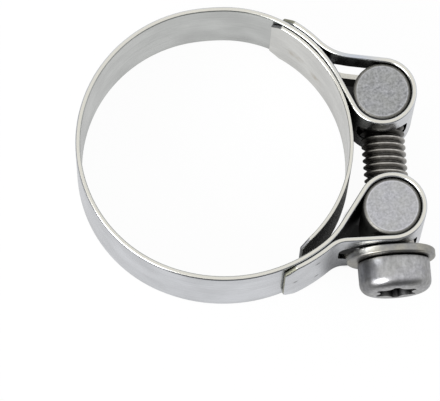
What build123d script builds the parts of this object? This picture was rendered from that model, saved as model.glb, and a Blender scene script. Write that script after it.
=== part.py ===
# Trunnion-bolt exhaust pipe clamp. One strip of sheet makes the band and, folded back at
# both ends, the two loops. Each loop holds a solid pin. A cap screw runs through the plain
# pin into the threaded pin and draws the loops together, and a thin bridge strip closes
# the gap in the bore. +Z is the pipe's axis, the clamp lies on its rim at Z=0, and the
# screw runs along Y with its head towards -Y. The origin is on the axis of the bore.
import os
from math import acos, atan2, cos, degrees, radians, sin, sqrt

from build123d import *

# Band and bore, with the clamp open as it is supplied
bore_diameter = 48.0
band_width = 20.0
band_thickness = 0.9

# Bridge strip under the gap, in degrees about the bore
bridge_thickness = 0.7
bridge_proud = 0.05       # how far it stands inside the bore
bridge_clearance = 0.05   # to the band that slides over it
bridge_start = -55.7      # free end
bridge_end = 61.0         # end welded to the band
bridge_corner = 2.0

# Pins in the loops
pin_diameter = 10.4
pin_recess = 0.3          # each pin end below the band's rim
pin_chamfer = 0.45
loop_clearance = 0.1      # between a pin and its loop
upper_pin_y = 7.25
lower_pin_y = -13.85
loop_stand_off = 0.68     # from the band's bend to the upper loop, at mid-sheet

# How the band leaves the bore's circle: first flatter, then tighter, then straight
upper_flatter = 12.2      # added to the band's radius in the flare
upper_tighter = 1.85      # taken off the band's radius in the bend
upper_bend_middle = 43.5  # degrees about the bore
upper_bend_half = 17.5    # the bend clears the bridge this far to both sides
lower_flatter = 4.0
lower_tighter = 9.45
lower_bend_middle = -39.0
lower_bend_rise = 2.62    # the bend's reach outside the band's circle

# Strip ends, folded back onto the band and spot-welded there
lap_gap = 0.08
upper_lap = 18.8          # degrees that the end lies along the band
upper_lap_leaves = 40.8   # degrees about the bend's centre
upper_fold_radius = 9.6
lower_lap = 18.7
lower_lap_leaves = -54.2  # degrees about the flare's centre
lower_fold_radius = 4.8
corner_cut = 2.2
weld_diameter = 3.0
weld_depth = 0.25         # the nugget's bite into each sheet
weld_dimple_diameter = 1.4
weld_dimple_depth = 0.15
weld_from_end = 2.1       # the single spot, along the strip
weld_pair_from_end = 6.6  # the pair further in
weld_pair_spacing = 10.0

# Slots that let the screw swing as the loops close
slot_clearance = 0.3      # each side of the screw
slot_corner = 2.6
slot_half_reach = 4.5     # either side of the screw, round the loop
upper_slot_reach = 8.6    # from the screw towards the bore, in the folded leg
lower_slot_reach = 9.8
leg_cut_depth = 2.3       # past the curve of the leg's outer face
leg_cut_start = 0.15      # inside its inner face

# M8 cap screw with a six-lobe recess, and its washer
screw_diameter = 8.0
screw_length = 35.0
thread_allowance = 0.05   # radial, between the screw and the threaded pin
plain_hole_clearance = 0.25
tip_chamfer = 0.8
head_diameter = 13.0
head_height = 5.8
head_edge_radius = 1.1
head_seat_chamfer = 0.35
recess_across_lobes = 7.9
recess_across_flutes = 5.65
recess_flute_radius = 1.65
recess_lobe_radius = 0.55
recess_depth = 3.2
recess_lobes = 6
washer_diameter = 16.0
washer_hole = 9.0
washer_aside = 0.4        # the washer hangs this far towards the bore, by its hole's play
washer_thickness = 1.6
washer_edge = 0.25
seat_gap = 0.06           # between faces that turn on each other

# Points and edge lengths this close count as the same
same_length = 0.001
full_turn = 360

# Radii and pitches that follow from the sizes
bore_axis = Vector(0, 0)
mid_height = band_width / 2
band_radius = bore_diameter / 2 + band_thickness / 2
bridge_radius = bore_diameter / 2 - bridge_proud + bridge_thickness / 2
loop_inner_radius = pin_diameter / 2 + loop_clearance
loop_radius = loop_inner_radius + band_thickness / 2
lap_pitch = band_thickness + lap_gap
slot_width = screw_diameter + 2 * slot_clearance


def turned(angle, length=1.0):
    """Vector of a length at an angle in degrees."""
    return Vector(length * cos(radians(angle)), length * sin(radians(angle)))


def angle_of(vector):
    return degrees(atan2(vector.Y, vector.X))


def crossing_tangent(first, first_radius, second, second_radius, turn):
    """Angle on the first circle of the straight that crosses over to the second.

    turn is 1 where the strip goes anticlockwise round the first circle, and -1 where it
    goes clockwise. The straight meets the second circle half a turn further on.
    """
    gap = second - first
    return angle_of(gap) - turn * degrees(acos((first_radius + second_radius) / gap.length))


def flare_centre(bend, flatter, tighter, side):
    """Centre of the flare, the arc that touches both the bore's circle and the bend.

    side is 1 or -1, for the side of the line through the bend's centre that it lies on.
    """
    across = bend.length
    along = (flatter**2 - (flatter + tighter) ** 2 + across**2) / (2 * across)
    aside = sqrt(flatter**2 - along**2)
    unit = bend.normalized()
    return unit * along + Vector(-unit.Y, unit.X) * side * aside


def strip_outline(bends, thickness):
    """Draw both faces and both ends of a strip that follows a chain of tangent bends.

    Each bend is its centre, its radius at mid-sheet, and the angles where it starts and
    ends. Straights join the bends that don't touch.
    """
    ends = []
    for side in (1, -1):
        previous = None
        for centre, radius, start, end in bends:
            turn = 1 if end > start else -1
            bend = CenterArc(centre, radius - turn * side * thickness / 2, start, end - start)
            if previous is None:
                ends.append(bend @ 0)
            elif (previous - bend @ 0).length > same_length:
                Line(previous, bend @ 0)
            previous = bend @ 1
        ends.append(previous)
    Line(ends[0], ends[2])
    Line(ends[1], ends[3])


# Upper end of the band, which bends round the welded end of the bridge
upper_bend_radius = band_radius - upper_tighter
bridge_reach = bridge_radius + bridge_thickness / 2 + bridge_clearance + band_thickness / 2
upper_bend = turned(
    upper_bend_middle,
    bridge_reach * cos(radians(upper_bend_half))
    - sqrt(upper_bend_radius**2 - (bridge_reach * sin(radians(upper_bend_half))) ** 2),
)
upper_flare = flare_centre(upper_bend, upper_flatter, upper_tighter, -1)
upper_flare_radius = band_radius + upper_flatter

# The upper loop stands just off that bend, and the screw keeps both loops in line
loop_distance = upper_bend_radius + loop_radius + loop_stand_off
screw_x = upper_bend.X + sqrt(loop_distance**2 - (upper_pin_y - upper_bend.Y) ** 2)
upper_loop = Vector(screw_x, upper_pin_y)
lower_loop = Vector(screw_x, lower_pin_y)

# Lower end of the band
lower_bend_radius = band_radius - lower_tighter
lower_bend = turned(lower_bend_middle, lower_bend_rise + lower_tighter)
lower_flare = flare_centre(lower_bend, lower_flatter, lower_tighter, 1)
lower_flare_radius = band_radius + lower_flatter

# The folded legs leave the band in a bend the other way
upper_lap_radius = upper_bend_radius + lap_pitch
upper_fold = upper_bend + turned(upper_lap_leaves, upper_lap_radius + upper_fold_radius)
lower_lap_radius = lower_flare_radius + lap_pitch
lower_fold = lower_flare + turned(lower_lap_leaves, lower_lap_radius + lower_fold_radius)

# Angles where bends meet each other or a straight
upper_joint = angle_of(upper_bend - upper_flare)
upper_bore_joint = angle_of(bore_axis - upper_flare)
lower_bore_joint = angle_of(bore_axis - lower_flare)
lower_joint = angle_of(lower_bend - lower_flare)
upper_leg_angle = crossing_tangent(upper_bend, upper_bend_radius, upper_loop, loop_radius, -1)
lower_leg_angle = crossing_tangent(lower_bend, lower_bend_radius, lower_loop, loop_radius, 1)
upper_fold_angle = crossing_tangent(upper_fold, upper_fold_radius, upper_loop, loop_radius, 1)
lower_fold_angle = crossing_tangent(lower_fold, lower_fold_radius, lower_loop, loop_radius, -1)

band_bends = [
    (upper_bend, upper_lap_radius, upper_lap_leaves + upper_lap, upper_lap_leaves),
    (upper_fold, upper_fold_radius, upper_lap_leaves - 180, upper_fold_angle),
    (upper_loop, loop_radius, upper_fold_angle + 180, upper_leg_angle - 180),
    (upper_bend, upper_bend_radius, upper_leg_angle, upper_joint),
    (upper_flare, upper_flare_radius, upper_joint, upper_bore_joint),
    (bore_axis, band_radius, upper_bore_joint, lower_bore_joint + full_turn),
    (lower_flare, lower_flare_radius, lower_bore_joint, lower_joint),
    (lower_bend, lower_bend_radius, lower_joint, lower_leg_angle),
    (lower_loop, loop_radius, lower_leg_angle + 180, lower_fold_angle - 180),
    (lower_fold, lower_fold_radius, lower_fold_angle, lower_lap_leaves + 180),
    (lower_flare, lower_lap_radius, lower_lap_leaves, lower_lap_leaves - lower_lap),
]

# Places along the screw, from its head to its tip
washer_inner_y = lower_pin_y - loop_inner_radius - band_thickness - seat_gap
washer_outer_y = washer_inner_y - washer_thickness
head_seat_y = washer_outer_y - seat_gap
head_end_y = head_seat_y - head_height
tip_y = head_seat_y + screw_length
screw_axis = Axis((screw_x, 0, mid_height), (0, 1, 0))


def across_screw(y):
    """Plane square to the screw, looking at it from the head."""
    return Plane((screw_x, y, mid_height), x_dir=(1, 0, 0), z_dir=(0, -1, 0))


def folded_leg(fold, fold_radius, fold_angle, loop):
    """Plane just inside a folded leg, level with the screw, with X towards the bore."""
    outward = turned(fold_angle + 180)
    at_loop = loop + outward * loop_radius
    along = (fold + turned(fold_angle, fold_radius) - at_loop).normalized()
    level = at_loop + along * ((screw_x - at_loop.X) / along.X)
    start = level - outward * (band_thickness / 2 + leg_cut_start)
    return Plane((start.X, start.Y, mid_height), x_dir=along, z_dir=outward)


def weld_plane(lap_centre, lap_radius, lap_end, from_end, direction, radius):
    """Plane on a lapped end at a distance from its edge, facing outward, with X along Z."""
    angle = lap_end + direction * degrees(from_end / lap_radius)
    place = lap_centre + turned(angle, radius)
    return Plane((place.X, place.Y, mid_height), x_dir=(0, 0, 1), z_dir=turned(angle))


laps = [
    (upper_bend, upper_lap_radius, upper_lap_leaves + upper_lap, -1),
    (lower_flare, lower_lap_radius, lower_lap_leaves - lower_lap, 1),
]
legs = [
    (folded_leg(upper_fold, upper_fold_radius, upper_fold_angle, upper_loop), upper_slot_reach),
    (folded_leg(lower_fold, lower_fold_radius, lower_fold_angle, lower_loop), lower_slot_reach),
]
spots = [
    (weld_from_end, 0),
    (weld_pair_from_end, -weld_pair_spacing / 2),
    (weld_pair_from_end, weld_pair_spacing / 2),
]

# Band: one strip, with its ends folded into loops, lapped back and welded to itself
with BuildPart() as band:
    with BuildSketch():
        with BuildLine():
            strip_outline(band_bends, band_thickness)
        make_face()
    extrude(amount=band_width)
    strip_ends = band.edges().filter_by(lambda e: abs(e.length - band_thickness) < same_length)
    chamfer(strip_ends, corner_cut)
    # Slots round the loops, in line with the screw
    with BuildSketch(across_screw(lower_pin_y - 2 * loop_radius)):
        RectangleRounded(2 * slot_half_reach, slot_width, slot_corner)
    extrude(amount=lower_pin_y - upper_pin_y - 4 * loop_radius, mode=Mode.SUBTRACT)
    # Longer slots in the folded legs
    for leg, reach in legs:
        with BuildSketch(leg):
            with Locations(((reach - slot_corner) / 2, 0)):
                RectangleRounded(reach + slot_corner, slot_width, slot_corner)
        extrude(amount=leg_cut_depth, mode=Mode.SUBTRACT)
    # Spot welds: nuggets that close the lap gap, and the electrode's dimples outside
    for lap_centre, lap_radius, lap_end, direction in laps:
        nugget_radius = lap_radius - band_thickness / 2 - lap_gap - weld_depth
        dimple_radius = lap_radius + band_thickness / 2 - weld_dimple_depth
        for from_end, aside in spots:
            nugget = weld_plane(lap_centre, lap_radius, lap_end, from_end, direction, nugget_radius)
            with BuildSketch(nugget):
                with Locations((aside, 0)):
                    Circle(weld_diameter / 2)
            extrude(amount=lap_gap + 2 * weld_depth)
            dimple = weld_plane(lap_centre, lap_radius, lap_end, from_end, direction, dimple_radius)
            with BuildSketch(dimple):
                with Locations((aside, 0)):
                    Circle(weld_dimple_diameter / 2)
            extrude(amount=2 * weld_dimple_depth, mode=Mode.SUBTRACT)
band.part.label = "band"

# Bridge: an arc of thinner strip, welded to the band at one end and free at the other
with BuildPart() as bridge:
    with BuildSketch():
        with BuildLine():
            strip_outline([(bore_axis, bridge_radius, bridge_start, bridge_end)], bridge_thickness)
        make_face()
    extrude(amount=band_width)
    bridge_ends = bridge.edges().filter_by(lambda e: abs(e.length - bridge_thickness) < same_length)
    chamfer(bridge_ends, bridge_corner)
bridge.part.label = "bridge"

# Threaded pin in the upper loop: the thread's bore is plain here, at its outer diameter
with BuildPart() as threaded_pin:
    with BuildSketch(Plane.XY.offset(pin_recess)):
        with Locations((screw_x, upper_pin_y)):
            Circle(pin_diameter / 2)
    extrude(amount=band_width - 2 * pin_recess)
    chamfer(threaded_pin.edges().filter_by(GeomType.CIRCLE), pin_chamfer)
    with BuildSketch(across_screw(upper_pin_y)):
        Circle(screw_diameter / 2 + thread_allowance)
    extrude(amount=pin_diameter, both=True, mode=Mode.SUBTRACT)
threaded_pin.part.label = "threaded_pin"

# Plain pin in the lower loop, which the screw passes through
with BuildPart() as plain_pin:
    with BuildSketch(Plane.XY.offset(pin_recess)):
        with Locations((screw_x, lower_pin_y)):
            Circle(pin_diameter / 2)
    extrude(amount=band_width - 2 * pin_recess)
    chamfer(plain_pin.edges().filter_by(GeomType.CIRCLE), pin_chamfer)
    with BuildSketch(across_screw(lower_pin_y)):
        Circle(screw_diameter / 2 + plain_hole_clearance)
    extrude(amount=pin_diameter, both=True, mode=Mode.SUBTRACT)
plain_pin.part.label = "plain_pin"

# Washer between the lower loop and the screw's head
with BuildPart() as washer:
    with BuildSketch(across_screw(washer_inner_y)):
        with Locations((-washer_aside, 0)):
            Circle(washer_diameter / 2)
            Circle(washer_hole / 2, mode=Mode.SUBTRACT)
    extrude(amount=washer_thickness)
    rims = washer.edges().filter_by(GeomType.CIRCLE).group_by(SortBy.RADIUS)[-1]
    chamfer(rims, washer_edge)
washer.part.label = "washer"

# Cap screw: turned shank and head, with a six-lobe recess. Its thread is left to the looks
with BuildPart() as cap_screw:
    with BuildSketch(Plane.XY.offset(mid_height)):
        with BuildLine():
            Polyline(
                (screw_x, tip_y),
                (screw_x + screw_diameter / 2 - tip_chamfer, tip_y),
                (screw_x + screw_diameter / 2, tip_y - tip_chamfer),
                (screw_x + screw_diameter / 2, head_seat_y),
                (screw_x + head_diameter / 2 - head_seat_chamfer, head_seat_y),
                (screw_x + head_diameter / 2, head_seat_y - head_seat_chamfer),
                (screw_x + head_diameter / 2, head_end_y),
                (screw_x, head_end_y),
                close=True,
            )
        make_face()
    revolve(axis=screw_axis)
    end_edge = cap_screw.edges().filter_by(GeomType.CIRCLE).sort_by(Axis.Y)[0]
    fillet(end_edge, head_edge_radius)
    with BuildSketch(across_screw(head_end_y)) as recess:
        Circle(recess_across_lobes / 2)
        with PolarLocations(recess_across_flutes / 2 + recess_flute_radius, recess_lobes):
            Circle(recess_flute_radius, mode=Mode.SUBTRACT)
        fillet(recess.vertices(), recess_lobe_radius)
    extrude(amount=-recess_depth, mode=Mode.SUBTRACT)
cap_screw.part.label = "cap_screw"

os.makedirs("parts", exist_ok=True)
export_step(band.part, "parts/band.step")
export_step(bridge.part, "parts/bridge.step")
export_step(threaded_pin.part, "parts/threaded_pin.step")
export_step(plain_pin.part, "parts/plain_pin.step")
export_step(washer.part, "parts/washer.step")
export_step(cap_screw.part, "parts/cap_screw.step")
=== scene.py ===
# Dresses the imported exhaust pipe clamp: rolled sheet edges, the screw's thread, metal finishes,
# a pale studio floor and the camera. Lengths are in metres, and settings in millimetres say so.
import math

import bmesh
import bpy
from bpy.props import FloatProperty, FloatVectorProperty, IntProperty, PointerProperty
from mathutils import Matrix, Vector


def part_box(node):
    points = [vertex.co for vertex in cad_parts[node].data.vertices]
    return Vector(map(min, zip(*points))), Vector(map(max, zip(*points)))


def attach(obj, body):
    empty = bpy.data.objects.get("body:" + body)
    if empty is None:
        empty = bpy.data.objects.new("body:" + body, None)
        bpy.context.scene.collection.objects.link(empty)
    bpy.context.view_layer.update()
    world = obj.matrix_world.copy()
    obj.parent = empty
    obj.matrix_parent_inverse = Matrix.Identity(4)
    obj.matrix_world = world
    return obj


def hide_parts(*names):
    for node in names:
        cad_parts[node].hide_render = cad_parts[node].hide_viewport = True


bl_info = {
    "name": "Exhaust Clamp Dresser",
    "version": (1, 0, 0),
    "blender": (4, 5, 0),
    "location": "3D View > Sidebar > Clamp",
    "description": "Finishes, thread, floor and camera for a trunnion-bolt exhaust clamp",
    "category": "Object",
}

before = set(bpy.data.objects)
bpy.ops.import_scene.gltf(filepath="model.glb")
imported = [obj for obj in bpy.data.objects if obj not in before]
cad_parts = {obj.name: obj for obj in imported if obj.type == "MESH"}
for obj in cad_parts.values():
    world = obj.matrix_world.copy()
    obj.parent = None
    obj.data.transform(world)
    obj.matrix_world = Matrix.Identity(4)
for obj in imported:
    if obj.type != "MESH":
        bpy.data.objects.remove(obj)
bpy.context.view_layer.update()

MM = 0.001

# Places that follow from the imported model
BAND_LOW, BAND_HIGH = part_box("band")
SCREW_LOW, SCREW_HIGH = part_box("cap_screw")
SCREW_X = (SCREW_LOW.x + SCREW_HIGH.x) / 2
SCREW_Z = (SCREW_LOW.z + SCREW_HIGH.z) / 2
TIP_Y = SCREW_HIGH.y
SEAT_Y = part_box("washer")[0].y - 0.05 * MM

# Edges that turn by more than the first are rounded, and those over the second stay crisp
FIRM_EDGE = math.radians(30)
CRISP_EDGE = math.radians(38)

# The sheet's outline, with the slanted corners of its ends, lies this close to its rims
OUTLINE_DEPTH = 2.35 * MM

# Face attribute of the strip's ends and slot walls
CUT_MARK = "cut_end"

# Spot welds on the lapped ends, where the electrode left a dimple; its size in millimetres
WELD_DIMPLES = (
    (0.01590, 0.02141, 0.01), (0.01936, 0.01841, 0.015), (0.01936, 0.01841, 0.005),
    (0.01265, -0.02431, 0.01), (0.01676, -0.02234, 0.015), (0.01676, -0.02234, 0.005),
)
DIMPLE_RADIUS = 0.7
DIMPLE_DEPTH = 0.15

# Heat tints on the bridge beside its weld: place, reach in millimetres, colour and strength
HEAT_TINTS = (
    ((0.0160, 0.0178, 0.0087), 2.6, (0.46, 0.39, 0.28), 0.95),
    ((0.0196, 0.0138, 0.0065), 2.2, (0.48, 0.41, 0.30), 0.9),
)

# Painted bluish reflection on the stretch of edge over the upper loop: middle, reach in
# millimetres and colour
PAINTED_EDGE_REFLECTION = ((0.0262, 0.0138, 0.020), 6.5, (0.55, 0.58, 0.64))

# Reach of the painted shade in the hollows of the band and of the bridge, in millimetres
BAND_HOLLOW = 8.0
BRIDGE_HOLLOW = 0.8

# Browner border round the pins' ends, its width in millimetres, and the washer's yellow patches
PIN_BORDER = (0.18, 0.172, 0.15)
PIN_BORDER_WIDTH = 0.65
PASSIVATION = (0.46, 0.44, 0.37)

# The studio: the dome's bright side and how it fades, and the soft light's place and size
DOME_BRIGHT_SIDE = (0.30, 0.55, 0.78)
DOME_FADE = (-0.2, 0.6)
KEY_PLACE = (-0.62, -0.46, 0.45)
KEY_SIZE = 0.6

# How much of the floor's white is its own, and how bright metal shows it near and further off
FLOOR_GLOW_SEEN = 0.96
FLOOR_REFLECTED_NEAR = 0.72
FLOOR_REFLECTED_FAR = 0.12
FLOOR_FRONT = (-0.25, -1.0, 0.0)

# Metal shows the floor at the foot of the lower leg darker
LEG_FOOT = (0.0216, -0.0208, 0.0)
LEG_FOOT_SHOWN = 0.5

# Shaded places of the floor inside the loops, and how bright they look
LOOP_SHADE = (
    ((0.0228, -0.0171, 0.0), 0.03), ((0.0246, -0.0140, 0.0), 0.01),
    ((0.0254, -0.0119, 0.0), 0.02), ((0.0260, 0.0128, 0.0), 0.02))


class ClampSheetSettings(bpy.types.PropertyGroup):
    """Finish of the band and of the bridge."""

    edge_rounding: FloatProperty(
        name="Edge Rounding", description="Radius of the sheet's rolled edges, in millimetres",
        default=0.38, min=0.02, max=0.42)
    band_colour: FloatVectorProperty(
        name="Band", description="Bright rolled stainless of the band",
        subtype="COLOR", size=3, default=(0.76, 0.78, 0.825), min=0, max=1)
    inner_colour: FloatVectorProperty(
        name="Band Inside", description="The band's face towards the pipe, less blue",
        subtype="COLOR", size=3, default=(0.62, 0.635, 0.62), min=0, max=1)
    bridge_colour: FloatVectorProperty(
        name="Bridge", description="Satin stainless of the bridge strip",
        subtype="COLOR", size=3, default=(0.80, 0.80, 0.77), min=0, max=1)
    edge_colour: FloatVectorProperty(
        name="Cut Edge", description="Warm tone of the strip's cut edges",
        subtype="COLOR", size=3, default=(0.70, 0.685, 0.625), min=0, max=1)
    end_colour: FloatVectorProperty(
        name="Cut End", description="Dull tone of the strip's ends and slot edges",
        subtype="COLOR", size=3, default=(0.31, 0.31, 0.245), min=0, max=1)
    bridge_end_colour: FloatVectorProperty(
        name="Bridge End", description="Darker tone of the bridge strip's ends",
        subtype="COLOR", size=3, default=(0.23, 0.23, 0.24), min=0, max=1)
    roughness: FloatProperty(
        name="Roughness", description="Roughness of the rolled faces",
        subtype="FACTOR", default=0.22, min=0, max=1)


class ClampPinSettings(bpy.types.PropertyGroup):
    """Finish of the two pins."""

    threaded_colour: FloatVectorProperty(
        name="Threaded Pin", description="Dull zinc of the threaded pin",
        subtype="COLOR", size=3, default=(0.352, 0.356, 0.370), min=0, max=1)
    plain_colour: FloatVectorProperty(
        name="Plain Pin", description="Lighter zinc of the plain pin",
        subtype="COLOR", size=3, default=(0.455, 0.457, 0.482), min=0, max=1)
    edge_rounding: FloatProperty(
        name="Edge Rounding", description="Softening of the turned edges, in millimetres",
        default=0.22, min=0.01, max=0.25)
    grain: FloatProperty(
        name="Grain", description="Strength of the speckle on the pins' ends",
        subtype="FACTOR", default=0.9, min=0, max=1)


class ClampScrewSettings(bpy.types.PropertyGroup):
    """Thread and finish of the cap screw and its washer."""

    pitch: FloatProperty(
        name="Pitch", description="Advance of the thread in one turn, in millimetres",
        default=1.25, min=0.5, max=2)
    root_radius: FloatProperty(
        name="Root Radius", description="Radius of the thread's root, in millimetres",
        default=3.28, min=2.5, max=3.9)
    crest_radius: FloatProperty(
        name="Crest Radius", description="Radius of the thread's crest, in millimetres",
        default=3.96, min=3, max=4)
    thread_length: FloatProperty(
        name="Thread Length", description="From the tip, in millimetres",
        default=24.0, min=5, max=32)
    phase: FloatProperty(
        name="Phase", description="Turn of the thread's start about the screw, in degrees",
        default=75.0, min=-360, max=360)
    head_rounding: FloatProperty(
        name="Head Rounding", description="Radius round the head's end, in millimetres",
        default=1.9, min=1.1, max=2.2)
    steps: IntProperty(
        name="Steps", description="Points in one turn of the thread",
        default=48, min=16, max=128)
    screw_colour: FloatVectorProperty(
        name="Screw", description="Dull zinc of the cap screw",
        subtype="COLOR", size=3, default=(0.42, 0.42, 0.437), min=0, max=1)
    thread_colour: FloatVectorProperty(
        name="Thread", description="Browner, oily steel of the thread",
        subtype="COLOR", size=3, default=(0.44, 0.425, 0.40), min=0, max=1)
    washer_colour: FloatVectorProperty(
        name="Washer", description="Zinc of the washer, a little yellow",
        subtype="COLOR", size=3, default=(0.345, 0.343, 0.335), min=0, max=1)
    edge_rounding: FloatProperty(
        name="Edge Rounding", description="Softening of the washer's edges, in millimetres",
        default=0.1, min=0.01, max=0.2)


class ClampStageSettings(bpy.types.PropertyGroup):
    """Floor, light and camera."""

    azimuth: FloatProperty(
        name="Azimuth", description="Camera's direction round the clamp, in degrees",
        default=-7.75, min=-180, max=180)
    elevation: FloatProperty(
        name="Elevation", description="Camera's height above the horizon, in degrees",
        default=76.734, min=0, max=90)
    roll: FloatProperty(
        name="Roll", description="Camera's turn about its own axis, in degrees",
        default=3.431, min=-180, max=180)
    distance: FloatProperty(
        name="Distance", description="From the camera to what it looks at",
        unit="LENGTH", default=0.7984, min=0.1, max=5)
    aim: FloatVectorProperty(
        name="Aim", description="Point in the middle of the picture",
        subtype="TRANSLATION", size=3, default=(0.00040, -0.00793, 0.00816))
    lens: FloatProperty(
        name="Lens", description="Focal length, in millimetres on a 36 mm sensor",
        default=362.8, min=20, max=800)
    key_light: FloatProperty(
        name="Key Light", description="Power of the soft light in front, to the left",
        unit="POWER", default=8.0, min=0, max=100)
    dome_bright: FloatProperty(
        name="Dome", description="Brightness of the surroundings over and behind the clamp",
        default=1.0, min=0, max=2)
    dome_dark: FloatProperty(
        name="Dome in Front", description="Brightness of the surroundings low in front",
        default=0.1, min=0, max=2)


class ClampSettings(bpy.types.PropertyGroup):
    """All settings of the clamp's looks."""

    sheet: PointerProperty(type=ClampSheetSettings)
    pins: PointerProperty(type=ClampPinSettings)
    screw: PointerProperty(type=ClampScrewSettings)
    stage: PointerProperty(type=ClampStageSettings)


def settings():
    return bpy.context.scene.clamp


# Meshes


def node_mesh(node):
    """A merged copy of a node's mesh, with its flat faces made whole again."""
    bm = bmesh.new()
    bm.from_mesh(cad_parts[node].data)
    bmesh.ops.remove_doubles(bm, verts=bm.verts, dist=0.001 * MM)
    bmesh.ops.dissolve_limit(
        bm, angle_limit=math.radians(0.4), verts=bm.verts, edges=bm.edges, delimit=set())
    return bm


def is_firm(edge):
    return len(edge.link_faces) == 2 and edge.calc_face_angle() > FIRM_EDGE


def firm_edges(bm, low=0.0, high=0.0):
    """The firm edges that reach out of the heights between low and high."""
    return [
        e for e in bm.edges
        if is_firm(e) and any(not low < v.co.z < high for v in e.verts)]


def round_edges(bm, edges, radius, segments=3):
    bmesh.ops.bevel(
        bm, geom=edges, offset=radius, offset_type="OFFSET", segments=segments, profile=0.5,
        affect="EDGES", clamp_overlap=True)


def mark_cut_ends(bm):
    """Mark the faces between two firm edges: the strip's ends and the walls of its slots."""
    mark = bm.faces.layers.float.new(CUT_MARK)
    for face in bm.faces:
        outline = sum(e.calc_length() for e in face.edges)
        firm = sum(e.calc_length() for e in face.edges if is_firm(e))
        if abs(face.normal.z) < 0.9 and firm > 0.75 * outline:
            face[mark] = 1.0


def piece_from(bm, name, body, node, material):
    """Close an edited mesh and dress it as a piece."""
    mesh = bpy.data.meshes.new(name)
    bm.to_mesh(mesh)
    bm.free()
    return dress(mesh, name, body, node, material)


def dress(mesh, name, body, node, material):
    """Shade a mesh, ride it on its body and let it stand for its node."""
    mesh.name = name
    mesh.materials.clear()
    mesh.materials.append(material)
    mesh.shade_smooth()
    mesh.set_sharp_from_angle(angle=CRISP_EDGE)
    piece = bpy.data.objects.new(name, mesh)
    bpy.context.scene.collection.objects.link(piece)
    weighted = piece.modifiers.new("Flat faces first", "WEIGHTED_NORMAL")
    weighted.keep_sharp = True
    weighted.weight = 100
    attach(piece, body)
    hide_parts(node)
    return piece


def lathe(profile, segments):
    """Turn (y, radius) points about the screw's axis into a closed mesh."""
    bm = bmesh.new()
    rings = []
    for y, radius in profile:
        if radius == 0:
            rings.append([bm.verts.new((SCREW_X, y, SCREW_Z))] * segments)
            continue
        rings.append([
            bm.verts.new((
                SCREW_X + radius * math.cos(2 * math.pi * k / segments),
                y,
                SCREW_Z + radius * math.sin(2 * math.pi * k / segments)))
            for k in range(segments)])
    for low, high in zip(rings, rings[1:]):
        for k in range(segments):
            after = (k + 1) % segments
            corners = []
            for vert in (low[k], high[k], high[after], low[after]):
                if vert not in corners:
                    corners.append(vert)
            bm.faces.new(corners)
    bmesh.ops.recalc_face_normals(bm, faces=bm.faces)
    return bm


# Materials


def math_node(tree, operation, *values):
    """A Math node fed with numbers and sockets."""
    node = tree.nodes.new("ShaderNodeMath")
    node.operation = operation
    for socket, value in zip(node.inputs, values):
        if isinstance(value, (int, float)):
            socket.default_value = value
        else:
            tree.links.new(value, socket)
    return node.outputs[0]


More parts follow.
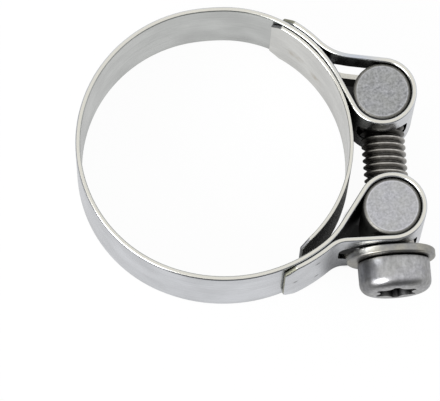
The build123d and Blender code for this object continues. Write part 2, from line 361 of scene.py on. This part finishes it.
class Finish:
    """A material under construction: short calls for its nodes."""

    def __init__(self, name):
        self.material = bpy.data.materials.new(name)
        self.material.use_nodes = True
        self.nodes = self.material.node_tree.nodes
        self.links = self.material.node_tree.links
        self.shader = self.nodes["Principled BSDF"]
        self.place = self.nodes.new("ShaderNodeTexCoord").outputs["Object"]

    def link(self, source, target):
        self.links.new(source, target)

    def noise(self, scale, detail=2.0, stretch=(1, 1, 1), roughness=0.5):
        """Noise with so many cells to a millimetre along each axis."""
        mapping = self.nodes.new("ShaderNodeMapping")
        mapping.inputs["Scale"].default_value = [scale / MM * s for s in stretch]
        self.link(self.place, mapping.inputs["Vector"])
        noise = self.nodes.new("ShaderNodeTexNoise")
        noise.inputs["Scale"].default_value = 1.0
        noise.inputs["Detail"].default_value = detail
        noise.inputs["Roughness"].default_value = roughness
        self.link(mapping.outputs["Vector"], noise.inputs["Vector"])
        return noise.outputs["Fac"]

    def ramp(self, source, low, high, to_low=0.0, to_high=1.0, smooth=False):
        node = self.nodes.new("ShaderNodeMapRange")
        node.clamp = True
        if smooth:
            node.interpolation_type = "SMOOTHSTEP"
        self.link(source, node.inputs["Value"])
        node.inputs["From Min"].default_value = low
        node.inputs["From Max"].default_value = high
        node.inputs["To Min"].default_value = to_low
        node.inputs["To Max"].default_value = to_high
        return node.outputs["Result"]

    def math(self, operation, *values):
        return math_node(self.material.node_tree, operation, *values)

    def mix(self, factor, first, second, blend="MIX"):
        node = self.nodes.new("ShaderNodeMix")
        node.data_type = "RGBA"
        node.blend_type = blend
        sockets = {s.identifier: s for s in node.inputs}
        if isinstance(factor, (int, float)):
            sockets["Factor_Float"].default_value = factor
        else:
            self.link(factor, sockets["Factor_Float"])
        for key, value in (("A_Color", first), ("B_Color", second)):
            if isinstance(value, bpy.types.NodeSocket):
                self.link(value, sockets[key])
            else:
                sockets[key].default_value = (*value, 1.0)
        return next(s for s in node.outputs if s.identifier == "Result_Color")

    def axis(self, vector, name):
        node = self.nodes.new("ShaderNodeSeparateXYZ")
        self.link(vector, node.inputs[0])
        return node.outputs[name]

    def normal_z(self):
        """How squarely the face lies across the pipe's axis, from 0 to 1."""
        geometry = self.nodes.new("ShaderNodeNewGeometry")
        return self.math("ABSOLUTE", self.axis(geometry.outputs["Normal"], "Z"))

    def faces_out(self):
        """1 on faces that look away from the pipe's axis, 0 on those that look towards it."""
        geometry = self.nodes.new("ShaderNodeNewGeometry")
        outward = self.nodes.new("ShaderNodeVectorMath")
        outward.operation = "DOT_PRODUCT"
        self.link(self.place, outward.inputs[0])
        self.link(geometry.outputs["True Normal"], outward.inputs[1])
        return self.ramp(outward.outputs["Value"], -2 * MM, 2 * MM)

    def openness(self, reach, low, high, darkest=0.0, samples=8):
        """Painted shade: darkest deep in a hollow of a reach in millimetres, 1 where the surface
        stands free.
        """
        node = self.nodes.new("ShaderNodeAmbientOcclusion")
        node.samples = samples
        node.inputs["Distance"].default_value = reach * MM
        return self.ramp(node.outputs["AO"], low, high, darkest, 1.0, smooth=True)

    def times(self, colour, factor):
        return self.mix(1.0, colour, factor, blend="MULTIPLY")

    def from_line(self, kept, point):
        """Distance from a line: kept has 0 for the line's own direction, point lies on it."""
        across = self.nodes.new("ShaderNodeVectorMath")
        across.operation = "MULTIPLY_ADD"
        self.link(self.place, across.inputs[0])
        across.inputs[1].default_value = kept
        across.inputs[2].default_value = [-k * c for k, c in zip(kept, point)]
        length = self.nodes.new("ShaderNodeVectorMath")
        length.operation = "LENGTH"
        self.link(across.outputs["Vector"], length.inputs[0])
        return length.outputs["Value"]

    def shaded_side(self, far, near, level):
        """Painted shade on one side of the screw: a level there, rising to 1 nearer its axis, in
        millimetres.
        """
        return self.ramp(
            self.axis(self.place, "X"), SCREW_X - far * MM, SCREW_X - near * MM, level, 1.0,
            smooth=True)

    def cut_end(self):
        """1 on the strip's ends and slot walls, which carry this mark in their mesh."""
        node = self.nodes.new("ShaderNodeAttribute")
        node.attribute_name = CUT_MARK
        return node.outputs["Fac"]

    def measured(self, operation, vector):
        """DISTANCE from a place, or DOT_PRODUCT with a direction."""
        node = self.nodes.new("ShaderNodeVectorMath")
        node.operation = operation
        self.link(self.place, node.inputs[0])
        node.inputs[1].default_value = vector
        return node.outputs["Value"]

    def near(self, place, reach):
        """1 at a place, fading to 0 at a distance in millimetres."""
        away = self.measured("DISTANCE", place)
        return self.ramp(away, 0.0, reach * MM, 1.0, 0.0, smooth=True)

    def bump(self, height, depth):
        """Bump of a depth in millimetres."""
        node = self.nodes.new("ShaderNodeBump")
        node.inputs["Strength"].default_value = 1.0
        node.inputs["Distance"].default_value = depth * MM
        self.link(height, node.inputs["Height"])
        self.link(node.outputs["Normal"], self.shader.inputs["Normal"])

    def metal(self, colour, roughness):
        """Bare metal of a colour and roughness that both vary over the surface."""
        self.link(colour, self.shader.inputs["Base Color"])
        self.link(roughness, self.shader.inputs["Roughness"])
        self.shader.inputs["Metallic"].default_value = 1.0
        return self.material


def toned(colour, factor):
    return [min(1.0, c * factor) for c in colour]


def rolled_stainless(name, colour, inner, end, hollow, tints=(), dimples=()):
    """Rolled sheet: fine streaks along the strip, faint blotches and a warmer cut edge.

    It has painted shade in hollows of a reach in millimetres, and its ends have a colour of their
    own.
    """
    finish = Finish(name)
    sheet = settings().sheet
    colour = finish.mix(finish.faces_out(), inner, colour)
    streaks = finish.noise(0.05, detail=3.0, stretch=(1, 1, 110))
    blotches = finish.noise(0.12, detail=2.0)
    shade = finish.ramp(blotches, 0.35, 0.65, 0.85, 1.06)
    shade = finish.math("MULTIPLY", shade, finish.ramp(streaks, 0.35, 0.65, 1.03, 0.9))
    dimple = 0.0
    for place in dimples:
        dimple = finish.math("ADD", finish.near(place, DIMPLE_RADIUS), dimple)
    # Painted shade in the weld dimples, on top of their bump
    if dimples:
        shade = finish.math("MULTIPLY", shade, finish.ramp(dimple, 0.05, 0.7, 1.0, 0.3))
    colour = finish.times(colour, shade)
    # Painted shade in the sheet's hollows
    colour = finish.times(colour, finish.openness(hollow, 0.1, 0.5))
    for place, reach, tint, strength in tints:
        stain = finish.math("MULTIPLY", finish.near(place, reach), strength)
        speck = finish.ramp(finish.noise(0.7, detail=3.0), 0.35, 0.6)
        colour = finish.mix(finish.math("MULTIPLY", stain, speck), colour, tint)
    rim = finish.ramp(finish.normal_z(), 0.78, 0.92)
    # Painted bluish reflection on the edge over the upper loop
    place, reach, reflected_blue = PAINTED_EDGE_REFLECTION
    edge = finish.mix(finish.near(place, reach), sheet.edge_colour, reflected_blue)
    colour = finish.mix(rim, colour, edge)
    colour = finish.mix(finish.cut_end(), colour, end)
    rough = finish.ramp(streaks, 0.3, 0.7, sheet.roughness - 0.05, sheet.roughness + 0.07)
    rough = finish.math("MAXIMUM", rough, finish.math("MULTIPLY", rim, 0.38))
    rough = finish.math("MAXIMUM", rough, finish.math("MULTIPLY", finish.cut_end(), 0.55))
    height = finish.math("MULTIPLY", streaks, 0.0012)
    height = finish.math("SUBTRACT", height, finish.math("MULTIPLY", dimple, DIMPLE_DEPTH))
    finish.bump(height, 1.0)
    return finish.metal(colour, rough)


def dull_zinc(name, colour, grain, cells):
    """Begin a dull plated steel: fine speckle over soft, yellowish mottling."""
    finish = Finish(name)
    speckle = finish.noise(cells, detail=3.0, roughness=0.65)
    mottle = finish.noise(0.35, detail=2.0)
    spread = 0.45 * grain
    mixed = finish.mix(
        finish.ramp(speckle, 0.3, 0.7), toned(colour, 1 - spread), toned(colour, 1 + spread))
    red, green, blue = toned(colour, 0.95)
    yellower = (red, green, blue * 0.88)
    mixed = finish.mix(finish.ramp(mottle, 0.35, 0.65, 0.0, 0.4), mixed, yellower)
    return finish, mixed, speckle


def pin_zinc(name, colour, grain, axis, radius):
    """Speckled ends with a painted highlight ring and a browner border, and painted shade on the
    sides in the loops.
    """
    finish, mixed, speckle = dull_zinc(name, colour, grain, 2.3)
    upright = finish.normal_z()
    out = finish.from_line((1, 1, 0), axis)
    inner = radius - PIN_BORDER_WIDTH * MM
    border = finish.ramp(out, inner, inner + 0.2 * MM)
    mixed = finish.mix(finish.math("MULTIPLY", border, 0.8), mixed, PIN_BORDER)
    # Painted highlight in a thin ring at the inside of the border
    highlight_ring = finish.math(
        "MULTIPLY", finish.ramp(out, inner - 0.15 * MM, inner - 0.05 * MM),
        finish.ramp(out, inner + 0.1 * MM, inner))
    mixed = finish.mix(finish.math("MULTIPLY", highlight_ring, 0.4), mixed, toned(colour, 1.7))
    # Painted shade on the sides, which stand in the loops
    mixed = finish.times(mixed, finish.ramp(upright, 0.25, 0.6, 0.4, 1.0))
    finish.bump(speckle, 0.012 * grain)
    return finish.metal(mixed, finish.ramp(speckle, 0.3, 0.7, 0.58, 0.42))


def head_zinc(name, colour, grain):
    """Head with fine marks along the screw, painted shade in its recess and painted shade on one
    side.
    """
    finish, mixed, speckle = dull_zinc(name, colour, grain, 1.6)
    marks = finish.noise(1.3, detail=3.0, stretch=(1, 0.35, 1))
    mixed = finish.times(mixed, finish.ramp(marks, 0.35, 0.65, 0.88, 1.12))
    # Painted shade in the recess
    mixed = finish.times(mixed, finish.openness(5.0, 0.25, 0.85))
    # Painted shade on one side of the head
    mixed = finish.times(mixed, finish.shaded_side(6.0, 4.0, 0.56))
    finish.bump(speckle, 0.012 * grain)
    return finish.metal(mixed, finish.ramp(speckle, 0.3, 0.7, 0.44, 0.28))


def thread_zinc(name, colour):
    """Thread with painted highlights on its crests over painted shade in its roots, painted shade
    on one side and in hollows, and darker past the middle.
    """
    finish = Finish(name)
    marks = finish.noise(1.4, detail=3.0)
    out = finish.from_line((1, 0, 1), (SCREW_X, 0, SCREW_Z))
    # Painted shade in the roots and a painted highlight on the crests, by distance from the axis
    mixed = finish.mix(
        finish.ramp(out, 3.3 * MM, 3.8 * MM), toned(colour, 0.32), toned(colour, 0.85))
    mixed = finish.mix(finish.ramp(out, 3.84 * MM, 3.94 * MM), mixed, toned(colour, 1.2))
    mixed = finish.times(mixed, finish.ramp(marks, 0.3, 0.7, 0.7, 1.2))
    # Painted shade on one side and in hollows
    mixed = finish.times(mixed, finish.shaded_side(4.0, 1.2, 0.4))
    mixed = finish.times(mixed, finish.openness(2.5, 0.12, 0.5))
    along = finish.axis(finish.place, "Y")
    mixed = finish.times(mixed, finish.ramp(along, 0.3 * MM, 1.5 * MM, 1.0, 0.25))
    finish.bump(marks, 0.004)
    return finish.metal(mixed, finish.ramp(marks, 0.3, 0.7, 0.3, 0.42))


def yellowish_zinc(name, colour):
    """Plated washer: grey with patches of yellow passivation, and painted shade close to the
    parts it meets.
    """
    finish = Finish(name)
    patches = finish.noise(0.28, detail=2.0)
    speckle = finish.noise(2.2, detail=3.0)
    mixed = finish.mix(finish.ramp(patches, 0.42, 0.62, 0.0, 0.8), colour, PASSIVATION)
    mixed = finish.mix(finish.ramp(speckle, 0.3, 0.7, 0.0, 0.5), mixed, toned(colour, 0.68))
    # Painted shade close to the parts the washer meets
    mixed = finish.times(mixed, finish.openness(1.5, 0.15, 0.6))
    finish.bump(speckle, 0.004)
    return finish.metal(mixed, finish.ramp(speckle, 0.3, 0.7, 0.3, 0.42))


# Pieces


class CLAMP_OT_band(bpy.types.Operator):
    """Give the band its rolled edges and bright finish"""

    bl_idname = "clamp.band"
    bl_label = "Band"

    def execute(self, context):
        sheet = settings().sheet
        bm = node_mesh("band")
        # The dimples are given back by the finish, which shades them more evenly than facets
        reach = (DIMPLE_RADIUS + DIMPLE_DEPTH + 0.1) * MM
        bmesh.ops.dissolve_verts(bm, verts=[
            v for v in bm.verts
            if any((v.co - Vector(place)).length < reach for place in WELD_DIMPLES)])
        rims = firm_edges(bm, BAND_LOW.z + OUTLINE_DEPTH, BAND_HIGH.z - OUTLINE_DEPTH)
        mark_cut_ends(bm)
        round_edges(bm, rims, sheet.edge_rounding * MM)
        material = rolled_stainless(
            "band_steel", sheet.band_colour, sheet.inner_colour, sheet.end_colour, BAND_HOLLOW,
            dimples=WELD_DIMPLES)
        piece_from(bm, "band_sheet", "clamp", "band", material)
        return {"FINISHED"}


class CLAMP_OT_bridge(bpy.types.Operator):
    """Give the bridge strip its edges, satin finish and weld tints"""

    bl_idname = "clamp.bridge"
    bl_label = "Bridge"

    def execute(self, context):
        sheet = settings().sheet
        bm = node_mesh("bridge")
        rims = firm_edges(bm)
        mark_cut_ends(bm)
        round_edges(bm, rims, sheet.edge_rounding * MM * 0.75)
        material = rolled_stainless(
            "bridge_steel", sheet.bridge_colour, sheet.bridge_colour, sheet.bridge_end_colour,
            BRIDGE_HOLLOW, HEAT_TINTS)
        piece_from(bm, "bridge_strip", "clamp", "bridge", material)
        return {"FINISHED"}


class CLAMP_OT_pins(bpy.types.Operator):
    """Give both pins their softened edges and dull zinc"""

    bl_idname = "clamp.pins"
    bl_label = "Pins"

    def execute(self, context):
        pins = settings().pins
        for node, colour, grain in (
                ("threaded_pin", pins.threaded_colour, pins.grain),
                ("plain_pin", pins.plain_colour, pins.grain * 0.6)):
            bm = node_mesh(node)
            low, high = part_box(node)
            ends = firm_edges(bm, low.z + 1 * MM, high.z - 1 * MM)
            round_edges(bm, ends, pins.edge_rounding * MM, 4)
            radius = (high.x - low.x) / 2
            material = pin_zinc(node + "_zinc", colour, grain, (low + high) / 2, radius)
            piece_from(bm, node + "_body", "clamp", node, material)
        return {"FINISHED"}


class CLAMP_OT_washer(bpy.types.Operator):
    """Give the washer its softened edges and yellowish zinc"""

    bl_idname = "clamp.washer"
    bl_label = "Washer"

    def execute(self, context):
        bm = node_mesh("washer")
        round_edges(bm, firm_edges(bm), settings().screw.edge_rounding * MM, 2)
        material = yellowish_zinc("washer_zinc", settings().screw.washer_colour)
        piece_from(bm, "washer_plate", "washer", "washer", material)
        return {"FINISHED"}


def thread_tree():
    """Geometry nodes of a ridge that winds up a straight helix and runs out at both ends."""
    tree = bpy.data.node_groups.new("screw_thread", "GeometryNodeTree")
    face = tree.interface
    face.new_socket("Geometry", in_out="OUTPUT", socket_type="NodeSocketGeometry")
    for name in ("Pitch", "Turns", "Root Radius", "Depth", "Base Width", "Crest Width"):
        face.new_socket(name, in_out="INPUT", socket_type="NodeSocketFloat")
    face.new_socket("Steps", in_out="INPUT", socket_type="NodeSocketInt")
    face.new_socket("Material", in_out="INPUT", socket_type="NodeSocketMaterial")
    nodes, links = tree.nodes, tree.links
    given = nodes.new("NodeGroupInput").outputs
    result = nodes.new("NodeGroupOutput").inputs["Geometry"]

    def calculate(operation, *values):
        return math_node(tree, operation, *values)

    spiral = nodes.new("GeometryNodeCurveSpiral")
    links.new(given["Steps"], spiral.inputs["Resolution"])
    links.new(given["Turns"], spiral.inputs["Rotations"])
    links.new(given["Root Radius"], spiral.inputs["Start Radius"])
    links.new(given["Root Radius"], spiral.inputs["End Radius"])
    links.new(calculate("MULTIPLY", given["Turns"], given["Pitch"]), spiral.inputs["Height"])

    upright = nodes.new("GeometryNodeSetCurveNormal")
    upright.mode = "Z_UP"
    links.new(spiral.outputs["Curve"], upright.inputs["Curve"])

    # The ridge shrinks to nothing over the last half turn at each end
    along = nodes.new("GeometryNodeSplineParameter").outputs["Factor"]
    from_end = calculate("MINIMUM", along, calculate("SUBTRACT", 1.0, along))
    turns_in = calculate("MULTIPLY", from_end, given["Turns"])
    height = calculate("MINIMUM", 1.0, calculate("MULTIPLY_ADD", turns_in, 2.0, 0.02))

    ridge = nodes.new("GeometryNodeCurvePrimitiveQuadrilateral")
    ridge.mode = "TRAPEZOID"
    links.new(given["Base Width"], ridge.inputs["Bottom Width"])
    links.new(given["Crest Width"], ridge.inputs["Top Width"])
    links.new(given["Depth"], ridge.inputs["Height"])
    ridge.inputs["Offset"].default_value = 0.0
    turn = nodes.new("GeometryNodeTransform")
    links.new(ridge.outputs["Curve"], turn.inputs["Geometry"])
    shift = nodes.new("ShaderNodeCombineXYZ")
    links.new(calculate("MULTIPLY", given["Depth"], -0.5), shift.inputs["X"])
    links.new(shift.outputs["Vector"], turn.inputs["Translation"])
    turn.inputs["Rotation"].default_value = (0.0, 0.0, math.pi / 2)

    sweep = nodes.new("GeometryNodeCurveToMesh")
    links.new(upright.outputs["Curve"], sweep.inputs["Curve"])
    links.new(turn.outputs["Geometry"], sweep.inputs["Profile Curve"])
    links.new(height, sweep.inputs["Scale"])
    sweep.inputs["Fill Caps"].default_value = True

    realize = nodes.new("GeometryNodeRealizeInstances")
    links.new(sweep.outputs["Mesh"], realize.inputs["Geometry"])
    paint = nodes.new("GeometryNodeSetMaterial")
    links.new(realize.outputs["Geometry"], paint.inputs["Geometry"])
    links.new(given["Material"], paint.inputs["Material"])
    links.new(paint.outputs["Geometry"], result)
    return tree


def grown_mesh(tree, values):
    """The plain mesh that a geometry node tree makes from named values."""
    holder = bpy.data.objects.new("holder", bpy.data.meshes.new("holder"))
    bpy.context.scene.collection.objects.link(holder)
    modifier = holder.modifiers.new("Grow", "NODES")
    modifier.node_group = tree
    for item in tree.interface.items_tree:
        if item.in_out == "INPUT":
            modifier[item.identifier] = values[item.name]
    bpy.context.view_layer.update()
    evaluated = holder.evaluated_get(bpy.context.evaluated_depsgraph_get())
    mesh = bpy.data.meshes.new_from_object(evaluated)
    bpy.data.objects.remove(holder)
    return mesh


class CLAMP_OT_cap_screw(bpy.types.Operator):
    """Build the cap screw: its head from the frame, its shank turned and its thread wound"""

    bl_idname = "clamp.cap_screw"
    bl_label = "Cap Screw"

    def execute(self, context):
        screw = settings().screw
        self.head(screw, head_zinc("screw_head_zinc", screw.screw_colour, 0.5))
        thread = thread_zinc("screw_thread_zinc", screw.thread_colour)
        self.shank(screw, thread)
        self.thread(screw, thread)
        return {"FINISHED"}

    def head(self, screw, material):
        """The head as far as its seat, with the shank cut away and its end rounded."""
        bm = node_mesh("cap_screw")

        def cut(height, **options):
            bmesh.ops.bisect_plane(
                bm, geom=bm.verts[:] + bm.edges[:] + bm.faces[:], plane_co=(0, height, 0),
                plane_no=(0, 1, 0), **options)

        cut(SEAT_Y, clear_outer=True)
        bmesh.ops.contextual_create(bm, geom=[e for e in bm.edges if e.is_boundary])
        end, rounding = SCREW_LOW.y, screw.head_rounding * MM
        flat = (SCREW_HIGH.x - SCREW_LOW.x) / 2 - rounding
        for angle in range(0, 90, 10):
            cut(end + rounding * (1 - math.sin(math.radians(angle))))
        axis = Vector((SCREW_X, 0, SCREW_Z))
        outside_recess = 4.2 * MM
        for vert in bm.verts:
            out = Vector((vert.co.x, 0, vert.co.z)) - axis
            down = rounding - (vert.co.y - end)
            if down > 0 and out.length > outside_recess:
                kept = flat + math.sqrt(max(0.0, rounding**2 - down**2))
                if out.length > kept:
                    vert.co += out * (kept / out.length - 1)
        piece_from(bm, "cap_screw_head", "screw", "cap_screw", material)

    def shank(self, screw, material):
        """Plain shank from inside the head, then the thread's core to the chamfered tip."""
        start = SCREW_LOW.y + 4.0 * MM
        thread_start = TIP_Y - screw.thread_length * MM
        plain, core = 3.98 * MM, screw.root_radius * MM
        profile = [
            (start, 0), (start, plain - 0.28 * MM), (start + 0.1 * MM, plain),
            (thread_start - 1.0 * MM, plain), (thread_start + 0.4 * MM, core),
            (TIP_Y - 0.5 * MM, core), (TIP_Y, core - 0.6 * MM), (TIP_Y, 0)]
        piece_from(
            lathe(profile, 96), "cap_screw_shank", "screw", "cap_screw", material)

    def thread(self, screw, material):
        pitch = screw.pitch * MM
        depth = (screw.crest_radius - screw.root_radius) * MM
        length = screw.thread_length * MM - pitch
        mesh = grown_mesh(thread_tree(), {
            "Pitch": pitch,
            "Turns": length / pitch,
            "Root Radius": screw.root_radius * MM,
            "Depth": depth,
            "Base Width": pitch * 0.94,
            "Crest Width": pitch * 0.16,
            "Steps": screw.steps,
            "Material": material,
        })
        # The helix winds up Z; it is laid along +Y, from inside the plain pin to the tip
        place = Matrix.Translation((SCREW_X, TIP_Y - length - pitch / 2, SCREW_Z))
        lay = Matrix.Rotation(math.radians(-90), 4, "X")
        mesh.transform(place @ lay @ Matrix.Rotation(math.radians(screw.phase), 4, "Z"))
        dress(mesh, "cap_screw_thread", "screw", "cap_screw", material)


# Stage


def floor_material():
    """White floor: bright to the camera and in reflections, with the clamp's soft shadow."""
    floor = Finish("studio_floor")
    floor.shader.inputs["Roughness"].default_value = 0.9
    path = floor.nodes.new("ShaderNodeLightPath").outputs
    reflected = floor.math("MAXIMUM", path["Is Glossy Ray"], path["Is Transmission Ray"])

    # Little light reaches the floor inside the loops
    lit = floor.openness(15, 0.10, 0.50, 0.03, samples=12)
    floor.link(floor.math("MULTIPLY", lit, 0.9), floor.shader.inputs["Base Color"])

    # Metal shows the floor darker in front of the clamp, and beside its lower leg
    forward = floor.measured("DOT_PRODUCT", FLOOR_FRONT)
    shown = floor.ramp(
        forward, 0.032, 0.055, FLOOR_REFLECTED_NEAR, FLOOR_REFLECTED_FAR, smooth=True)
    beside = floor.measured("DISTANCE", LEG_FOOT)
    beside = floor.ramp(beside, 1.0 * MM, 4.2 * MM, LEG_FOOT_SHOWN, 1.0, smooth=True)
    shown = floor.math("MULTIPLY", floor.math("MULTIPLY", shown, beside), lit)

    seen = 1.0
    for place, level in LOOP_SHADE:
        away = floor.measured("DISTANCE", place)
        away = floor.ramp(away, 1.6 * MM, 3.2 * MM, level, 1.0, smooth=True)
        seen = floor.math("MINIMUM", away, seen)
    seen = floor.math("MULTIPLY", floor.math("SUBTRACT", 1.0, reflected), seen)

    glow = floor.nodes.new("ShaderNodeEmission")
    shown = floor.math("MULTIPLY", reflected, shown)
    floor.link(floor.math("ADD", seen, shown), glow.inputs["Strength"])
    share = floor.math("MULTIPLY_ADD", path["Is Camera Ray"], FLOOR_GLOW_SEEN, reflected)
    mix = floor.nodes.new("ShaderNodeMixShader")
    floor.link(share, mix.inputs["Fac"])
    floor.link(floor.shader.outputs[0], mix.inputs[1])
    floor.link(glow.outputs[0], mix.inputs[2])
    floor.link(mix.outputs[0], floor.nodes["Material Output"].inputs["Surface"])
    return floor.material


def studio_dome(stage):
    """A pale dome, brightest over the clamp and behind it, that darkens towards the front."""
    world = bpy.data.worlds.new("studio")
    world.use_nodes = True
    nodes, links = world.node_tree.nodes, world.node_tree.links
    direction = nodes.new("ShaderNodeTexCoord").outputs["Generated"]
    towards = nodes.new("ShaderNodeVectorMath")
    towards.operation = "DOT_PRODUCT"
    links.new(direction, towards.inputs[0])
    towards.inputs[1].default_value = Vector(DOME_BRIGHT_SIDE).normalized()
    fade = nodes.new("ShaderNodeMapRange")
    fade.interpolation_type = "SMOOTHSTEP"
    links.new(towards.outputs["Value"], fade.inputs["Value"])
    fade.inputs["From Min"].default_value, fade.inputs["From Max"].default_value = DOME_FADE
    fade.inputs["To Min"].default_value = stage.dome_dark
    fade.inputs["To Max"].default_value = stage.dome_bright
    links.new(fade.outputs["Result"], nodes["Background"].inputs["Strength"])
    nodes["Background"].inputs["Color"].default_value = (1.0, 1.0, 1.0, 1.0)
    return world


def key_light(power):
    """A wide soft light in front, to the left, aimed at the middle of the clamp."""
    light = bpy.data.lights.new("key_light", "AREA")
    light.shape = "SQUARE"
    light.size = KEY_SIZE
    light.energy = power
    lamp = bpy.data.objects.new("key_light", light)
    bpy.context.scene.collection.objects.link(lamp)
    lamp.location = KEY_PLACE
    lamp.rotation_euler = (-Vector(KEY_PLACE)).to_track_quat("-Z", "Y").to_euler()


class CLAMP_OT_stage(bpy.types.Operator):
    """Lay the floor, hang the soft light and set the camera"""

    bl_idname = "clamp.stage"
    bl_label = "Stage"

    def execute(self, context):
        stage = settings().stage
        self.floor()
        key_light(stage.key_light)
        context.scene.world = studio_dome(stage)
        self.camera(context.scene, stage)
        context.scene.view_settings.view_transform = "Standard"
        return {"FINISHED"}

    def floor(self):
        bm = bmesh.new()
        bmesh.ops.create_grid(bm, x_segments=1, y_segments=1, size=3.0)
        mesh = bpy.data.meshes.new("floor")
        bm.to_mesh(mesh)
        bm.free()
        mesh.materials.append(floor_material())
        floor = bpy.data.objects.new("floor", mesh)
        bpy.context.scene.collection.objects.link(floor)
        # A hair below the rims, so that the two don't share a plane
        floor.location.z = BAND_LOW.z - 0.02 * MM

    def camera(self, scene, stage):
        data = bpy.data.cameras.new("camera")
        data.sensor_width = 36.0
        data.lens = stage.lens
        camera = bpy.data.objects.new("camera", data)
        scene.collection.objects.link(camera)
        azimuth, elevation = math.radians(stage.azimuth), math.radians(stage.elevation)
        back = Vector((
            math.sin(azimuth) * math.cos(elevation), -math.cos(azimuth) * math.cos(elevation),
            math.sin(elevation)))
        turn = (
            Matrix.Rotation(azimuth, 4, "Z")
            @ Matrix.Rotation(math.pi / 2 - elevation, 4, "X")
            @ Matrix.Rotation(math.radians(stage.roll), 4, "Z"))
        camera.matrix_world = Matrix.Translation(Vector(stage.aim) + back * stage.distance) @ turn
        scene.camera = camera


class CLAMP_PT_looks(bpy.types.Panel):
    """Buttons and settings of the clamp's looks"""

    bl_idname = "CLAMP_PT_looks"
    bl_label = "Exhaust Clamp"
    bl_space_type = "VIEW_3D"
    bl_region_type = "UI"
    bl_category = "Clamp"

    def draw(self, context):
        for name, group, operators in (
                ("Sheet", settings().sheet, (CLAMP_OT_band, CLAMP_OT_bridge)),
                ("Pins", settings().pins, (CLAMP_OT_pins,)),
                ("Screw", settings().screw, (CLAMP_OT_washer, CLAMP_OT_cap_screw)),
                ("Stage", settings().stage, (CLAMP_OT_stage,))):
            box = self.layout.box()
            box.label(text=name)
            for key in group.__annotations__:
                box.prop(group, key)
            for operator in operators:
                box.operator(operator.bl_idname)


CLASSES = (
    ClampSheetSettings, ClampPinSettings, ClampScrewSettings, ClampStageSettings, ClampSettings,
    CLAMP_OT_band, CLAMP_OT_bridge, CLAMP_OT_pins, CLAMP_OT_washer, CLAMP_OT_cap_screw,
    CLAMP_OT_stage, CLAMP_PT_looks)


def register():
    for item in CLASSES:
        bpy.utils.register_class(item)
    bpy.types.Scene.clamp = PointerProperty(type=ClampSettings)


def unregister():
    del bpy.types.Scene.clamp
    for item in reversed(CLASSES):
        bpy.utils.unregister_class(item)


def main():
    register()
    bpy.ops.clamp.stage()
    bpy.ops.clamp.band()
    bpy.ops.clamp.bridge()
    bpy.ops.clamp.pins()
    bpy.ops.clamp.washer()
    bpy.ops.clamp.cap_screw()


if __name__ == "__main__":
    main()
